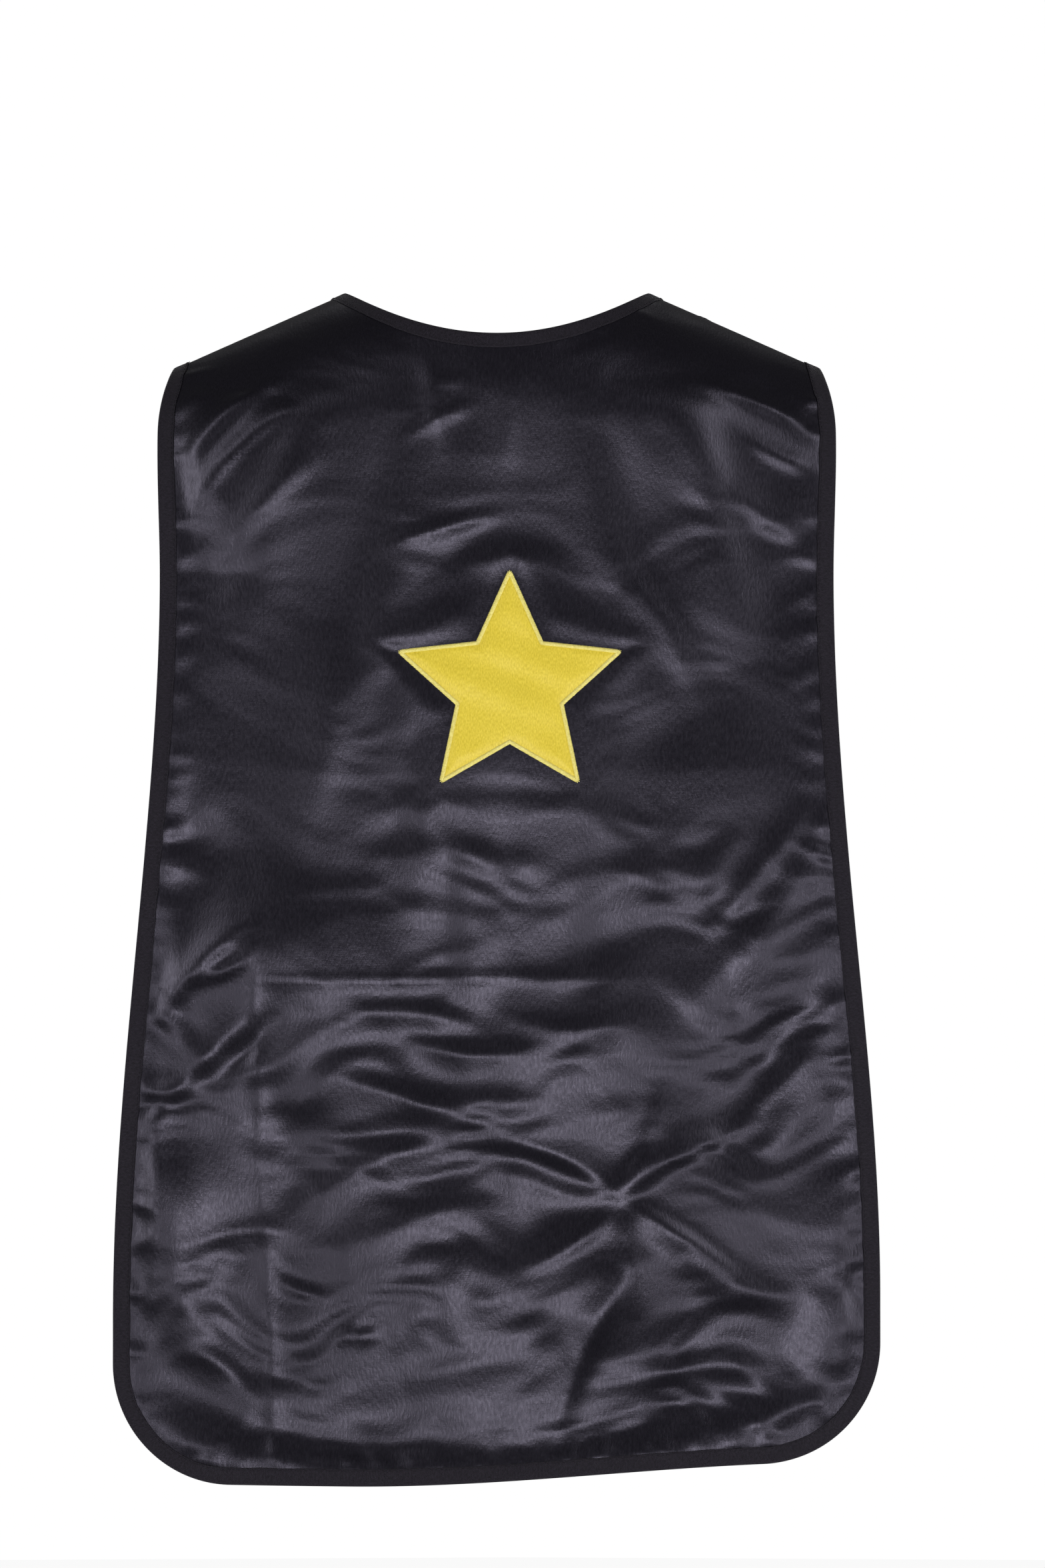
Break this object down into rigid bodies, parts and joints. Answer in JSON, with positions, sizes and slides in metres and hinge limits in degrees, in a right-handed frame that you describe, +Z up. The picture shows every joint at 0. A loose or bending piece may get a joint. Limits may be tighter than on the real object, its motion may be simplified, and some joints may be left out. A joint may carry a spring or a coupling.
{
  "type": "superhero cape",
  "caption": "Child's black satin costume cape with bound edges, a yellow star emblem on the back, front flaps over the shoulders and a hook-and-loop neck tab.",
  "frame": {"origin": "middle of the neck opening, level with the neck edge at the centre back", "axes": "+Z up, +Y towards the wearer's front, +X to the wearer's right; the back panel faces -Y"},
  "size_m": [0.469, 0.2014, 0.7298],
  "materials": {
    "satin_black": "satin, fine warp-faced weave",
    "lining_black": "plain woven lining",
    "binding_black": "matt bias tape",
    "emblem_yellow": "satin applique",
    "emblem_thread": "rayon embroidery thread",
    "stabiliser_white": "nonwoven",
    "label_white": "blank woven label",
    "loop_black": "looped pile tape",
    "hook_black": "moulded hook tape"
  },
  "bodies": {
    "back_yoke": {"back_shell_upper": "satin_black", "back_lining_upper": "lining_black", "neck_binding_back": "binding_black", "edge_binding_left_upper": "binding_black", "edge_binding_right_upper": "binding_black", "star_applique": "emblem_yellow", "star_satin_stitch": "emblem_thread", "emblem_stabiliser": "stabiliser_white", "care_label": "label_white"},
    "back_drop": {"back_shell_lower": "satin_black", "back_lining_lower": "lining_black", "edge_binding_lower": "binding_black"},
    "left_front": {"left_front_shell": "satin_black", "left_front_lining": "lining_black", "left_neck_binding": "binding_black", "left_edge_binding": "binding_black", "loop_tape": "loop_black"},
    "right_front": {"right_front_shell": "satin_black", "right_front_lining": "lining_black", "right_neck_binding": "binding_black", "right_edge_binding": "binding_black"},
    "closure_tab": {"tab_shell": "satin_black", "tab_lining": "lining_black", "tab_binding": "binding_black", "hook_tape": "hook_black"}
  },
  "joints": [
    {"name": "drop_flare", "type": "hinge", "parent": "back_yoke", "child": "back_drop", "pos_m": [0, -0.0895, -0.3], "axis": [-1, 0, 0], "range_deg": [0, 45]},
    {"name": "right_flap_lift", "type": "hinge", "parent": "back_yoke", "child": "right_front", "pos_m": [0.093, 0, 0.0302], "axis": [0.9156, 0, -0.4022], "range_deg": [0, 80]},
    {"name": "left_flap_lift", "type": "hinge", "parent": "back_yoke", "child": "left_front", "pos_m": [-0.093, 0, 0.0302], "axis": [0.9156, 0, 0.4022], "range_deg": [0, 64]},
    {"name": "closure_peel", "type": "hinge", "parent": "right_front", "child": "closure_tab", "pos_m": [0.0125, 0.088, -0.0646], "axis": [0, 0.2259, -0.9741], "range_deg": [0, 120]}
  ],
  "couplings": [
    {"joint": "left_flap_lift", "follows": "right_flap_lift", "ratio": 0.8}
  ]
}
